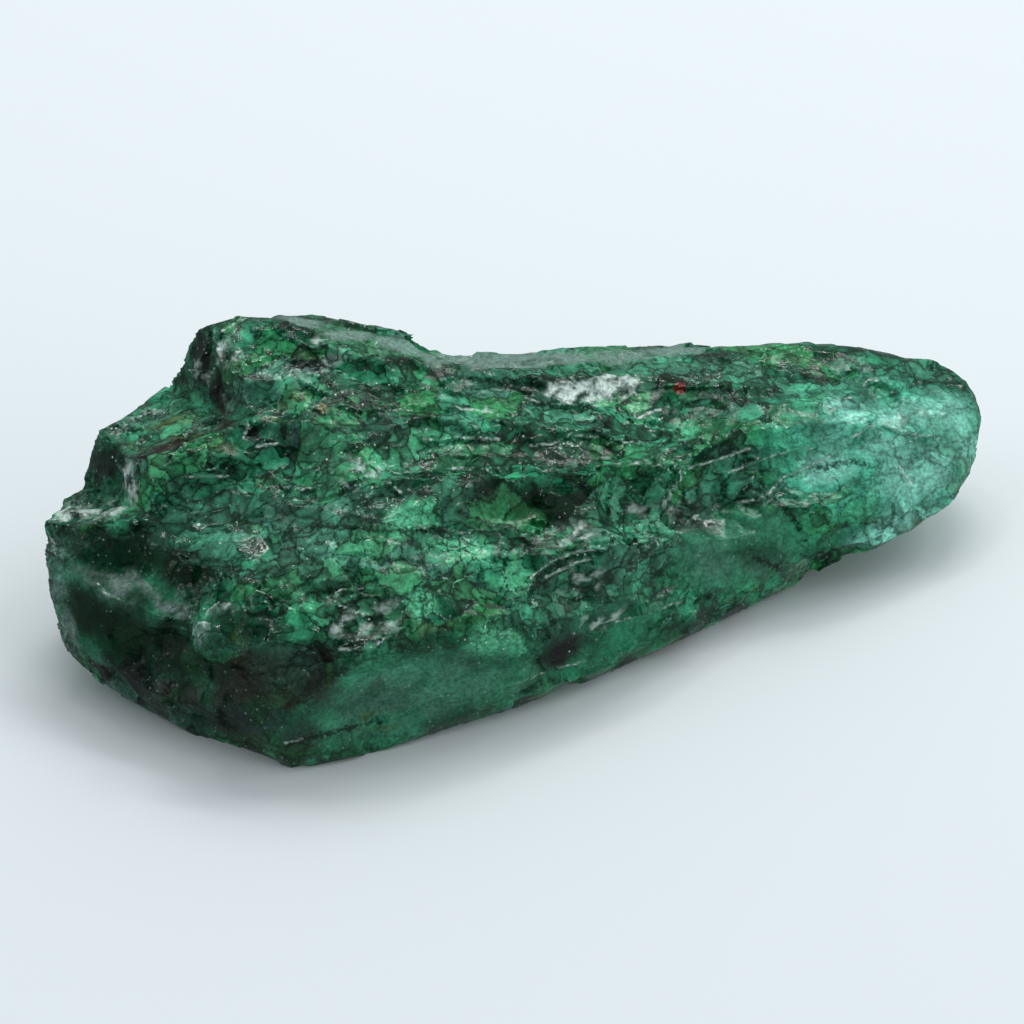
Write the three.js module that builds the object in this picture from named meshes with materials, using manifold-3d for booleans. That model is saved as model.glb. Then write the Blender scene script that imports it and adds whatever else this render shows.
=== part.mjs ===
// Raw emerald crystal: one broken, elongated piece of cracked emerald, lying on its flattest side.
// Millimetres, +Z up. +X runs from the wide, stepped, broken end to the narrow, rounded end.
// The front (-Y) side is the low, worn side, and the back (+Y) side carries the high rim.
import * as THREE from "three";
import { mergeVertices } from "three/addons/utils/BufferGeometryUtils.js";
import Module from "manifold-3d";

// ---------------------------------------------------------------- driving dimensions

const RING_STEPS_PER_FACET = 2; // strips between two neighbouring ridge lines
const STATIONS = 36; // rings along the crystal
const TIP_RINGS = 5; // rings that round off the narrow end
const TIP_REACH = [3.0, 0.5, 0.2]; // how far the rounded end reaches past the last ring
const TIP_START = 0.45; // angle in radians at which the rounding of the narrow end sets in
const REST_PLANE = 0; // height of the flat facet that the crystal lies on
const FACET_BULGE = 0.06; // how far a facet swells between its ridges, as a share of its width
const MERGE_DISTANCE = 1e-5; // corners closer than this are one corner
const CUTTER = 40; // side of the blocks that split off the steps
const SCAR_ROUNDNESS = 4; // a scar's sphere is this many times as deep as the scar
const SCAR_DETAIL = 5; // subdivision of a scar's surface

// Ridge lines of the crystal, each from the broken end to the narrow end, in order round the section.
const RIDGES = {
  frontFoot: [
    [-23.5, 1.4, 1.0], [-20.6, -1.5, 0.1], [-15.4, -7.4, 0], [-11.2, -8.0, 0], [-5.5, -7.2, 0],
    [1.0, -6.1, 0], [8.4, -3.9, 0], [15.2, -1.6, 0.1], [20.4, -0.8, 1.2], [24.2, 0.0, 2.3],
  ],
  frontRim: [
    [-24.5, 2.4, 3.0], [-21.9, -1.2, 3.1], [-16.4, -6.6, 3.0], [-11.6, -8.9, 2.6], [-5.6, -7.9, 2.8],
    [1.1, -6.9, 2.6], [8.6, -4.8, 2.6], [15.4, -2.4, 2.6], [20.8, -2.0, 2.6], [24.9, -0.8, 3.3],
  ],
  shoulder: [
    [-24.6, 4.4, 6.2], [-21.9, 0.8, 7.4], [-16.9, -4.3, 8.2], [-11.5, -7.5, 8.0], [-5.6, -7.0, 7.7],
    [1.2, -6.0, 7.2], [8.8, -4.0, 6.6], [15.4, -2.0, 6.1], [21.0, -1.0, 5.2], [25.3, 0.3, 5.2],
  ],
  plateau: [
    [-24.2, 5.8, 8.4], [-20.9, 3.4, 9.9], [-16.0, -1.0, 10.4], [-10.5, -3.6, 10.4], [-4.6, -3.3, 10.0],
    [2.0, -2.9, 9.4], [9.0, -1.9, 8.7], [15.6, -0.2, 8.0], [21.1, 0.6, 7.0], [25.5, 1.8, 6.5],
  ],
  ledge: [
    [-23.6, 7.0, 9.8], [-20.4, 5.8, 11.6], [-15.4, 2.6, 12.2], [-10.0, 0.5, 12.2], [-4.0, 0.2, 11.7],
    [2.4, 0.0, 10.8], [9.2, 0.8, 9.8], [15.8, 2.2, 9.1], [21.1, 2.8, 8.2], [25.6, 3.6, 7.3],
  ],
  upperFace: [
    [-23.2, 7.8, 9.8], [-20.0, 7.8, 12.6], [-14.9, 6.8, 13.8], [-9.8, 4.8, 13.8], [-4.4, 4.2, 13.0],
    [2.0, 3.4, 11.6], [9.0, 3.8, 10.3], [15.8, 5.0, 9.5], [21.1, 5.2, 8.9], [25.7, 5.3, 7.7],
  ],
  crest: [
    [-22.9, 8.4, 8.8], [-19.6, 9.2, 12.8], [-14.6, 10.8, 15.2], [-10.5, 10.4, 15.4], [-5.4, 7.8, 14.1],
    [1.2, 6.3, 12.3], [8.8, 6.9, 10.6], [15.8, 8.0, 9.5], [21.1, 7.8, 8.9], [25.7, 7.0, 7.6],
  ],
  backRim: [
    [-22.7, 8.8, 6.4], [-19.2, 10.8, 9.8], [-14.6, 12.4, 13.6], [-10.2, 12.0, 14.5], [-5.2, 11.6, 13.3],
    [1.2, 10.2, 11.1], [8.6, 10.3, 9.7], [15.6, 9.8, 8.7], [21.0, 9.2, 7.9], [25.7, 8.1, 6.7],
  ],
  backFace: [
    [-22.8, 8.4, 4.0], [-19.0, 12.0, 5.0], [-14.5, 14.2, 7.0], [-10.0, 15.0, 7.0], [-5.0, 14.4, 6.0],
    [1.2, 13.0, 5.4], [8.6, 11.8, 5.0], [15.6, 11.0, 4.6], [21.0, 9.8, 4.8], [25.7, 7.9, 4.7],
  ],
  backFoot: [
    [-22.8, 6.8, 1.6], [-19.0, 10.0, 0.8], [-14.5, 12.4, 0.1], [-10.0, 13.2, 0], [-5.0, 12.6, 0],
    [1.2, 11.4, 0], [8.6, 10.2, 0], [15.6, 9.2, 0.2], [21.0, 8.0, 1.2], [25.3, 6.2, 2.5],
  ],
};

// Steps where whole blocks have split off the broken end. Each is a floor and a wall, given by a point
// on it and the direction it faces, and everything above the floor and outside the wall is gone.
const STEPS = [
  {
    name: "step below the head",
    floor: { at: [-16.9, 8.0, 11.3], facing: [-0.2, 0.32, 1] },
    wall: { at: [-14.1, 11.4, 13.6], facing: [-0.92, -0.2, 0.34] },
  },
  {
    name: "step down to the nose",
    floor: { at: [-22.2, 6.0, 8.3], facing: [-0.12, 0.34, 1] },
    wall: { at: [-19.9, 7.8, 10.2], facing: [-0.88, -0.18, 0.4] },
  },
  {
    name: "step down to the plateau",
    floor: { at: [-15.0, 2.3, 10.6], facing: [-0.3, -0.3, 1] },
    wall: { at: [-16.5, 3.4, 11.4], facing: [-0.1, -0.8, 0.56] },
  },
];

// Flat cleavage faces on the sides that the steps and scars leave plain. "near" is a place by the
// surface, "facing" is the way the face looks, and "depth" is how much of the swelling is gone there.
const CLEAVAGES = [
  { name: "high back face", near: [-9.0, 14.0, 9], facing: [0.0, 0.98, 0.2], depth: 0.4 },
  { name: "low back face", near: [-3.0, 14.0, 3], facing: [0.1, 0.97, -0.22], depth: 0.6 },
  { name: "middle back face", near: [4.0, 12.6, 6], facing: [0.18, 0.97, 0.12], depth: 0.35 },
  { name: "narrow back face", near: [16.0, 11.0, 4], facing: [0.15, 0.98, -0.12], depth: 0.4 },
  { name: "back corner face", near: [-17.5, 12.5, 4], facing: [-0.62, 0.77, -0.1], depth: 0.35 },
  { name: "low end face", near: [-23.4, 4.0, 1], facing: [-0.6, 0.1, -0.8], depth: 0.25 },
  { name: "low tip face", near: [24.0, 3.0, 2], facing: [0.35, -0.1, -0.94], depth: 0.3 },
];

// Shell-shaped scars left by flakes. "near" is a place by the surface, "facing" is the way the scar
// faces, "size" is its length, width and depth, and "turn" is its direction about that facing, in degrees.
const SCARS = [
  {
    name: "bevel behind the crest",
    near: [5.2, 8.6, 11.3], facing: [0.06, 0.4, 0.9],
    size: [14, 3.4, 0.35], turn: -4,
  },
  {
    name: "head flake",
    near: [-11.2, 8.4, 15], facing: [-0.05, -0.45, 0.87],
    size: [6, 4.0, 0.5], turn: 8,
  },
  {
    name: "upper flake",
    near: [-7.2, 5.6, 14], facing: [0.05, -0.4, 0.9],
    size: [12, 5.6, 0.7], turn: -16,
  },
  { name: "crest flake", near: [0.6, 4.8, 12.4], facing: [0.16, -0.12, 1], size: [12, 4.6, 0.6], turn: -6 },
  { name: "mottled facet", near: [8.0, 4.8, 10.8], facing: [0.1, -0.28, 1], size: [10, 4.4, 0.5], turn: 3 },
  {
    name: "long flake",
    near: [-4.4, 2.0, 12.6], facing: [0.1, -0.55, 0.84],
    size: [11, 4.2, 0.6], turn: -6,
  },
  { name: "middle flake", near: [4.4, 1.6, 11], facing: [0.1, -0.5, 0.86], size: [13, 3.6, 0.6], turn: -1 },
  {
    name: "hollow under the ledge",
    near: [1.4, -2.4, 10], facing: [0.06, -0.66, 0.75],
    size: [14, 5.2, 0.9], turn: 3,
  },
  {
    name: "plateau edge",
    near: [-3.4, -5.4, 9], facing: [0.3, -0.55, 0.78],
    size: [8, 5.6, 0.7], turn: -12,
  },
  { name: "neck flake", near: [12.6, 3.6, 9.9], facing: [0, -0.2, 1], size: [10, 4.2, 0.5], turn: 8 },
  { name: "lobe top flake", near: [19.0, 4.4, 9.2], facing: [0.1, 0.1, 1], size: [9, 4.6, 0.4], turn: -4 },
  {
    name: "lobe end flake",
    near: [24.8, 4.6, 8], facing: [0.45, -0.1, 0.9],
    size: [6, 4.0, 0.35], turn: 20,
  },
  {
    name: "lobe side flake",
    near: [19.8, 0.2, 7.8], facing: [0, -0.66, 0.75],
    size: [10, 4.2, 0.5], turn: 8,
  },
  {
    name: "neck side flake",
    near: [13.4, -0.8, 8], facing: [-0.16, -0.6, 0.8],
    size: [8, 3.6, 0.5], turn: 16,
  },
  {
    name: "fan flake",
    near: [8.4, -2.0, 8.8], facing: [-0.35, -0.78, 0.52],
    size: [6, 4.4, 0.8], turn: -25,
  },
  {
    name: "smooth front facet",
    near: [10.8, -3.4, 4.2], facing: [0.24, -0.85, 0.42],
    size: [12, 9, 1.0], turn: 8,
  },
  {
    name: "front shoulder flake",
    near: [3.4, -5.3, 7.4], facing: [0.16, -0.82, 0.56],
    size: [10, 5, 0.7], turn: 8,
  },
  {
    name: "almond flake",
    near: [1.7, -5.7, 8.0], facing: [0.1, -0.7, 0.7],
    size: [4.6, 2.8, 0.5], turn: 25,
  },
  {
    name: "front face flake",
    near: [-6.0, -8.5, 3.8], facing: [0.04, -1, 0.02],
    size: [19, 7.4, 0.7], turn: 3,
  },
  {
    name: "thin front flake",
    near: [5.4, -6.2, 3.2], facing: [0.2, -1, 0.06],
    size: [13, 5.4, 0.6], turn: 2,
  },
  {
    name: "worn hollow",
    near: [-13.4, -7.9, 7], facing: [-0.3, -0.85, 0.45],
    size: [7, 4.4, 0.8], turn: 0,
  },
  {
    name: "upper side flake",
    near: [-20.4, 1.2, 8.6], facing: [-0.5, -0.62, 0.6],
    size: [11, 4.6, 0.6], turn: -30,
  },
  {
    name: "lower side flake",
    near: [-20.4, -0.8, 5], facing: [-0.62, -0.75, 0.25],
    size: [12, 5.6, 0.7], turn: -12,
  },
  {
    name: "side undercut",
    near: [-19.0, -3.6, 2.0], facing: [-0.6, -0.75, -0.2],
    size: [10, 3.6, 0.35], turn: -6,
  },
  {
    name: "plateau hollow",
    near: [-10.4, -7.0, 9.2], facing: [0.04, -0.8, 0.6],
    size: [7, 3.6, 0.7], turn: 4,
  },
  {
    name: "block face flake",
    near: [-13.6, 4.8, 12.4], facing: [-0.1, -0.62, 0.78],
    size: [8, 3.2, 0.5], turn: -4,
  },
  { name: "pit", near: [-11.0, 6.4, 13.4], facing: [-0.3, -0.6, 0.75], size: [5, 2.6, 0.5], turn: -20 },
  {
    name: "front notch",
    near: [17.7, -1.3, 1.5], facing: [0.1, -0.95, -0.1],
    size: [4.4, 2.8, 0.7], turn: 10,
  },
  {
    name: "wide back flake",
    near: [-7.0, 15.0, 6.0], facing: [0.1, 1, 0.05],
    size: [19, 8, 1.0], turn: 10,
  },
  {
    name: "middle back flake",
    near: [6.5, 13.0, 5.0], facing: [0.2, 1, 0.1],
    size: [19, 7.4, 0.9], turn: -8,
  },
  {
    name: "narrow back flake",
    near: [18.0, 11.0, 4.6], facing: [0.1, 1, 0.1],
    size: [17, 5.4, 0.7], turn: 6,
  },
  {
    name: "back corner flake",
    near: [-18.0, 11.6, 4.6], facing: [-0.5, 0.85, 0],
    size: [15, 7, 0.9], turn: -14,
  },
  {
    name: "back foot flake",
    near: [-2.0, 12.6, 1.6], facing: [0, 0.85, -0.5],
    size: [15, 4.4, 0.7], turn: 0,
  },
  {
    name: "high back flake",
    near: [-12.0, 13.6, 10], facing: [-0.2, 0.95, 0.2],
    size: [9, 4.6, 0.5], turn: 24,
  },
  {
    name: "narrow foot flake",
    near: [12.0, 9.6, 1.4], facing: [0.15, 0.8, -0.6],
    size: [12, 4, 0.6], turn: 0,
  },
  {
    name: "end foot flake",
    near: [-22.6, 5.0, 1.2], facing: [-0.7, 0.4, -0.6],
    size: [6, 3.4, 0.4], turn: 0,
  },
];

// ---------------------------------------------------------------- solids

const wasm = await Module();
wasm.setup();

function solidFrom(geometry) {
  const bare = geometry.clone();
  bare.deleteAttribute("normal");
  bare.deleteAttribute("uv");
  const merged = mergeVertices(bare, MERGE_DISTANCE);
  return new wasm.Manifold(new wasm.Mesh({
    numProp: 3,
    vertProperties: new Float32Array(merged.attributes.position.array),
    triVerts: new Uint32Array(merged.index.array),
  }));
}

function geometryFrom(solid) {
  const mesh = solid.getMesh();
  const geometry = new THREE.BufferGeometry();
  geometry.setAttribute("position", new THREE.BufferAttribute(new Float32Array(mesh.vertProperties), 3));
  geometry.setIndex(new THREE.BufferAttribute(new Uint32Array(mesh.triVerts), 1));
  geometry.computeVertexNormals();
  return geometry;
}

// One ring of points round the section at a place along the ridges, from 0 to 1.
function ringAt(curves, along) {
  const corners = curves.map((curve) => curve.getPoint(along));
  const middle = corners.reduce((sum, p) => sum.add(p), new THREE.Vector3()).divideScalar(corners.length);
  const ring = [];
  corners.forEach((corner, i) => {
    const next = corners[(i + 1) % corners.length];
    const isBase = i === corners.length - 1;
    const width = corner.distanceTo(next);
    for (let step = 0; step < RING_STEPS_PER_FACET; step += 1) {
      const share = step / RING_STEPS_PER_FACET;
      const point = corner.clone().lerp(next, share);
      const swell = isBase ? 0 : FACET_BULGE * width * 4 * share * (1 - share);
      const outward = point.clone().sub(middle).setX(0).normalize();
      ring.push(point.addScaledVector(outward, swell));
    }
  });
  return ring;
}

// The whole crystal before anything broke off it: rings joined along the ridges, with the narrow end
// rounded and the wide end closed flat.
function unbrokenCrystal() {
  const curves = Object.values(RIDGES).map((points) => new THREE.CatmullRomCurve3(
    points.map((p) => new THREE.Vector3(...p)), false, "centripetal",
  ));
  const rings = [];
  for (let i = 0; i <= STATIONS; i += 1) {
    rings.push(ringAt(curves, i / STATIONS));
  }
  const last = rings[rings.length - 1];
  const centre = last.reduce((sum, p) => sum.add(p), new THREE.Vector3()).divideScalar(last.length);
  for (let k = 1; k <= TIP_RINGS; k += 1) {
    const angle = THREE.MathUtils.lerp(TIP_START, Math.PI / 2, k / (TIP_RINGS + 1));
    const share = (Math.sin(angle) - Math.sin(TIP_START)) / (1 - Math.sin(TIP_START));
    const reach = new THREE.Vector3(...TIP_REACH).multiplyScalar(share);
    const narrowing = Math.cos(angle) / Math.cos(TIP_START);
    rings.push(last.map((p) => p.clone().sub(centre).multiplyScalar(narrowing).add(centre).add(reach)));
  }
  const count = last.length;
  const positions = rings.flat().flatMap((p) => p.toArray());
  const start = rings[0].reduce((sum, p) => sum.add(p), new THREE.Vector3()).divideScalar(count);
  const tip = centre.clone().add(new THREE.Vector3(...TIP_REACH));
  positions.push(...start.toArray(), ...tip.toArray());
  const startIndex = rings.length * count;
  const tipIndex = startIndex + 1;
  const lastRing = (rings.length - 1) * count;
  const index = [];
  for (let i = 0; i < count; i += 1) {
    const j = (i + 1) % count;
    for (let r = 0; r < rings.length - 1; r += 1) {
      const a = r * count + i;
      const b = r * count + j;
      const c = a + count;
      const d = b + count;
      index.push(a, c, b, b, c, d);
    }
    index.push(startIndex, i, j);
    index.push(tipIndex, lastRing + j, lastRing + i);
  }
  const geometry = new THREE.BufferGeometry();
  geometry.setAttribute("position", new THREE.Float32BufferAttribute(positions, 3));
  geometry.setIndex(index);
  return solidFrom(geometry);
}

// A block whose lower face lies on a plane, filling the space that the plane faces.
function blockBeyond({ at, facing }) {
  const direction = new THREE.Vector3(...facing).normalize();
  const block = new THREE.BoxGeometry(CUTTER, CUTTER, CUTTER);
  block.translate(0, 0, CUTTER / 2);
  block.applyQuaternion(new THREE.Quaternion().setFromUnitVectors(new THREE.Vector3(0, 0, 1), direction));
  block.translate(...at);
  return solidFrom(block);
}

// The point of a solid's surface that is met first when coming in from the side a scar faces.
function surfacePoint(solid, near, direction) {
  const surface = new THREE.Mesh(geometryFrom(solid));
  const start = new THREE.Vector3(...near).addScaledVector(direction, CUTTER);
  const [hit] = new THREE.Raycaster(start, direction.clone().negate()).intersectObject(surface);
  return hit.point;
}

// The rounded body that a flake takes away, sunk into the surface by the depth of its scar.
function flake(solid, { near, facing, size, turn }) {
  const [length, width, depth] = size;
  const height = depth * SCAR_ROUNDNESS;
  const spread = Math.sqrt(1 - (1 - 1 / SCAR_ROUNDNESS) ** 2);
  const direction = new THREE.Vector3(...facing).normalize();
  const centre = surfacePoint(solid, near, direction);
  const across = new THREE.Vector3(1, 0, 0).cross(direction).normalize().negate();
  const lengthwise = across.clone().cross(direction).normalize();
  const body = new THREE.IcosahedronGeometry(1, SCAR_DETAIL);
  body.scale(length / 2 / spread, width / 2 / spread, height);
  body.rotateZ(THREE.MathUtils.degToRad(turn));
  body.translate(0, 0, height - depth);
  body.applyMatrix4(new THREE.Matrix4().makeBasis(lengthwise, across, direction).setPosition(centre));
  return solidFrom(body);
}

function emeraldCrystal() {
  let crystal = unbrokenCrystal();
  for (const { near, facing, depth } of CLEAVAGES) {
    const direction = new THREE.Vector3(...facing).normalize();
    const at = surfacePoint(crystal, near, direction).addScaledVector(direction, -depth);
    crystal = crystal.subtract(blockBeyond({ at: at.toArray(), facing }));
  }
  for (const { floor, wall } of STEPS) {
    crystal = crystal.subtract(blockBeyond(floor).intersect(blockBeyond(wall)));
  }
  for (const scar of SCARS) {
    crystal = crystal.subtract(flake(crystal, scar));
  }
  const under = blockBeyond({ at: [0, 0, REST_PLANE], facing: [0, 0, -1] });
  crystal = crystal.subtract(under);
  const geometry = geometryFrom(crystal);
  geometry.computeBoundingBox();
  const middle = geometry.boundingBox.getCenter(new THREE.Vector3());
  geometry.translate(-middle.x, -middle.y, 0);
  const mesh = new THREE.Mesh(
    geometry,
    new THREE.MeshStandardMaterial({ name: "emerald", color: 0x2f6b4f, roughness: 0.18, metalness: 0 }),
  );
  mesh.name = "emerald_crystal";
  return mesh;
}

const group = new THREE.Group();
group.add(emeraldCrystal());

export default group;
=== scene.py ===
"""Raw emerald crystal: the finish of the one broken, cracked stone, on a pale floor in soft light.

The stone's mesh starts as a copy of the CAD solid and is worked finer here: ledges, fracture cells that
tilt against each other, chips struck off its surface, one knob and two hollows. Its material is one
procedural shader. Lists named after a look, such as PAINTED_GLOW, say where on the stone that look is.
Places and lengths are in millimetres in the part's own frame, unless a name says otherwise.
"""

import math

import bpy
import numpy as np
from mathutils import Matrix, Vector
from mathutils.kdtree import KDTree


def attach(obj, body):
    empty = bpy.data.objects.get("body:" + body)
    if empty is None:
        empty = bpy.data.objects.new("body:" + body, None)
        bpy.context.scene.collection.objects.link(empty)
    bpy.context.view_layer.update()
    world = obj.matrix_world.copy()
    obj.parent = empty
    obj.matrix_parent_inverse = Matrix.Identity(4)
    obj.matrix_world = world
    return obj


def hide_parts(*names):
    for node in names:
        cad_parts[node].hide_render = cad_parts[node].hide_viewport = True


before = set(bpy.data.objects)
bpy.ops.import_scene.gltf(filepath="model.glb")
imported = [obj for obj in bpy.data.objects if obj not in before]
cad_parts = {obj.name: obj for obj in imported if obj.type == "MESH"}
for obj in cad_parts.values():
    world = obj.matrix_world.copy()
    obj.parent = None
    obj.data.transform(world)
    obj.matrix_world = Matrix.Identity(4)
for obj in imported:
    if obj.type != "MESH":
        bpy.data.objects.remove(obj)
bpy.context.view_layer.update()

MM = 0.001
SEED = 7
NODE = "emerald_crystal"

# ------------------------------------------------------------------ camera, light and floor

VIEW_AZIMUTH = -16.0  # degrees, from straight in front towards the broken end
VIEW_ELEVATION = 40.0
VIEW_DISTANCE = 220.0
VIEW_CENTRE = (-1.61, -2.09, 7.15)
LENS = 144.0
SENSOR_WIDTH = 36.0

TOWARD_WINDOW = Vector((0.85, 0.25, 0.5)).normalized()
ROOM_DIM = (0.44, 0.48, 0.50)
ROOM_BRIGHT = (0.88, 0.93, 0.96)
CAMERA_PATCH = (0.03, 0.035, 0.035)
REFLECTION_DIMMING = 0.75
SEEN_ROOM = (0.72, 0.78, 0.82)  # the flat colour that the camera sees past the floor
FLOOR_HALF = 1.5  # metres
FLOOR_COLOUR = (0.80, 0.85, 0.875)

WHITE_LIGHT = (1.0, 1.0, 1.0)
WARM_LIGHT = (1.0, 0.99, 0.96)
# Each light is a name, azimuth and elevation in degrees, distance, width, height, watts and colour.
UNREFLECTED_LIGHTS = [  # broad ones, which would lay a grey sheen on the stone
    ("window", 155.0, 57.0, 450.0, 220.0, 160.0, 0.44, WHITE_LIGHT),
    ("side_window", 95.0, 48.0, 450.0, 200.0, 140.0, 0.17, WHITE_LIGHT),
    ("fill", 42.0, 24.0, 450.0, 260.0, 160.0, 0.13, WHITE_LIGHT),
]
REFLECTED_LIGHTS = [  # the narrow ones make small glints
    ("left_fill", -98.0, 34.0, 430.0, 160.0, 120.0, 0.07, WHITE_LIGHT),
    ("strip", 145.0, 58.0, 430.0, 240.0, 14.0, 0.20, WHITE_LIGHT),
    ("lamp", 190.0, 62.0, 420.0, 34.0, 34.0, 0.08, WARM_LIGHT),
    ("side_lamp", 110.0, 50.0, 420.0, 30.0, 30.0, 0.06, WARM_LIGHT),
]


def new_object(name, data):
    obj = bpy.data.objects.new(name, data)
    bpy.context.scene.collection.objects.link(obj)
    return obj


def view_axes(azimuth, elevation):
    """Right, up and backward directions of a camera that looks from this azimuth and elevation."""
    a = math.radians(azimuth)
    e = math.radians(elevation)
    back = Vector((math.sin(a) * math.cos(e), -math.cos(a) * math.cos(e), math.sin(e)))
    right = Vector((math.cos(a), math.sin(a), 0.0))
    return right, back.cross(right), back


def facing_centre(obj, centre, azimuth, elevation, distance):
    """Puts a camera or light at this azimuth, elevation and distance, looking at the centre."""
    right, up, back = view_axes(azimuth, elevation)
    matrix = Matrix((right, up, back)).transposed().to_4x4()
    matrix.translation = (Vector(centre) + back * distance) * MM
    obj.matrix_world = matrix


def add_camera():
    data = bpy.data.cameras.new("camera")
    data.lens = LENS
    data.sensor_width = SENSOR_WIDTH
    data.clip_start = 0.001
    data.clip_end = 20.0
    data.dof.use_dof = False
    camera = new_object("camera", data)
    facing_centre(camera, VIEW_CENTRE, VIEW_AZIMUTH, VIEW_ELEVATION, VIEW_DISTANCE)
    bpy.context.scene.camera = camera


def add_softbox(name, azimuth, elevation, distance, width, height, watts, colour):
    data = bpy.data.lights.new(name, "AREA")
    data.shape = "RECTANGLE"
    data.size = width * MM
    data.size_y = height * MM
    data.energy = watts
    data.color = colour
    light = new_object(name, data)
    facing_centre(light, (0.0, 0.0, 0.0), azimuth, elevation, distance)
    return light


def add_world():
    """A pale room, brightest above and to the right, with a dark patch round the camera. The stone's
    reflections see it dimmer than it is."""
    world = bpy.data.worlds.new("studio")
    world.use_nodes = True
    g = Graph(world.node_tree)
    direction = g.node("TexCoord", {}).outputs["Generated"]
    toward_camera = view_axes(VIEW_AZIMUTH, VIEW_ELEVATION)[2]
    room = g.mix(g.step(g.dot(direction, TOWARD_WINDOW), -0.6, 0.95), ROOM_DIM, ROOM_BRIGHT)
    room = g.mix(g.step(g.dot(direction, toward_camera), 0.6, 0.95), room, CAMERA_PATCH)
    light_path = g.node("LightPath", {}).outputs
    dimming = g.multiply(light_path["Is Glossy Ray"], REFLECTION_DIMMING)
    room = g.mix(dimming, room, (0.0, 0.0, 0.0))
    background = g.nodes["Background"]
    g.feed(background.inputs["Color"], g.mix(light_path["Is Camera Ray"], room, SEEN_ROOM))
    background.inputs["Strength"].default_value = 1.0
    bpy.context.scene.world = world


def add_floor():
    mesh = bpy.data.meshes.new("floor")
    half = FLOOR_HALF
    corners = [(-half, -half, 0.0), (half, -half, 0.0), (half, half, 0.0), (-half, half, 0.0)]
    mesh.from_pydata(corners, [], [(0, 1, 2, 3)])
    floor = new_object("floor", mesh)
    material = bpy.data.materials.new("floor_paper")
    material.use_nodes = True
    shader = material.node_tree.nodes["Principled BSDF"]
    shader.inputs["Base Color"].default_value = (*FLOOR_COLOUR, 1.0)
    shader.inputs["Roughness"].default_value = 0.9
    shader.inputs["Specular IOR Level"].default_value = 0.2
    mesh.materials.append(material)
    floor.visible_glossy = False


def add_studio():
    add_world()
    add_floor()
    for light in UNREFLECTED_LIGHTS:
        add_softbox(*light).visible_glossy = False
    for light in REFLECTED_LIGHTS:
        add_softbox(*light)
    view = bpy.context.scene.view_settings
    view.view_transform = "Standard"
    view.look = "None"


# ------------------------------------------------------------------ where each look is on the stone

# Each spot is a centre and its half sizes along X, Y and Z.
PAINTED_GLOW = [  # clearer patches, with painted glow: the bright green of light shining through from behind
    ((-7.8, -5.1, 10.9), (1.7, 0.8, 0.9)),
    ((-6.5, -6.6, 9.3), (1.3, 0.9, 0.8)),
    ((-5.2, -6.6, 8.8), (1.2, 0.8, 0.8)),
    ((-5.2, -10.0, 5.7), (1.0, 1.0, 1.1)),
    ((-4.0, -10.2, 5.4), (0.9, 1.0, 0.9)),
    ((8.6, -0.5, 9.3), (1.0, 0.8, 0.6)),
    ((-8.6, -9.2, 8.5), (0.8, 0.8, 1.0)),
    ((-3.2, -8.0, 7.6), (0.9, 0.7, 0.9)),
]
DEEP = [  # saturated, darker green
    ((-3.5, -4.3, 10.2), (3.2, 1.0, 1.4)),
    ((0.6, -4.7, 9.3), (3.0, 1.2, 1.4)),
    ((-24.2, 0.5, 8.5), (1.7, 1.7, 1.0)),
    ((-22.4, -1.2, 8.5), (2.1, 2.0, 1.3)),
    ((-20.3, -3.2, 8.6), (2.0, 1.9, 1.3)),
    ((-24.8, -1.4, 5.3), (1.5, 1.7, 1.6)),
    ((-23.0, -3.4, 5.0), (2.1, 2.1, 1.9)),
    ((-20.9, -5.4, 5.0), (2.0, 1.9, 1.8)),
    ((-18.2, -7.4, 6.4), (1.9, 1.5, 1.4)),
    ((8.5, 3.0, 10.0), (3.5, 0.9, 0.9)),
    ((3.0, 9.6, 4.4), (4.0, 1.6, 2.0)),
]
BLACK_AND_SHADE = [  # near-black: painted shade on the undersides near the floor and in the hollows, and dark patches elsewhere
    ((-16.4, 7.9, 13.3), (0.9, 1.9, 1.9)),
    ((-15.6, 5.6, 13.0), (1.2, 1.4, 1.2)),
    ((-14.8, 4.4, 13.4), (1.0, 0.9, 0.6)),
    ((-12.4, 0.7, 12.7), (1.2, 0.8, 0.7)),
    ((-10.9, 4.7, 14.5), (0.7, 0.5, 0.5)),
    ((-15.0, 1.6, 12.6), (0.7, 0.7, 0.5)),
    ((-24.8, -2.6, 1.8), (1.6, 1.8, 1.2)),
    ((-23.2, -4.2, 1.9), (2.6, 2.4, 1.8)),
    ((-20.8, -6.6, 1.9), (2.8, 2.4, 2.1)),
    ((-18.2, -9.0, 2.0), (2.8, 2.4, 2.4)),
    ((-15.8, -10.6, 1.4), (1.8, 1.4, 1.7)),
    ((-18.6, -8.0, 4.2), (2.2, 1.9, 1.7)),
    ((1.5, -6.3, 8.3), (0.45, 0.4, 0.4)),
    ((7.2, -4.0, 6.4), (0.9, 0.7, 1.1)),
    ((-4.0, 3.6, 12.8), (1.4, 0.5, 0.4)),
    ((-22.6, 5.4, 10.0), (0.9, 1.4, 1.2)),
    ((-22.6, 4.4, 9.4), (0.7, 1.0, 0.9)),
    ((-13.1, -8.4, 9.3), (1.9, 0.6, 0.5)),
    ((-0.9, -9.3, 3.2), (1.8, 0.8, 1.2)),
    ((-8.0, 10.2, 9.0), (3.0, 1.4, 1.2)),
    ((-19.5, 8.0, 3.0), (2.2, 1.6, 1.6)),
    ((5.0, 9.0, 2.0), (3.0, 1.4, 1.2)),
    ((-22.9, 5.6, 8.8), (0.8, 1.1, 1.0)),
]
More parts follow.
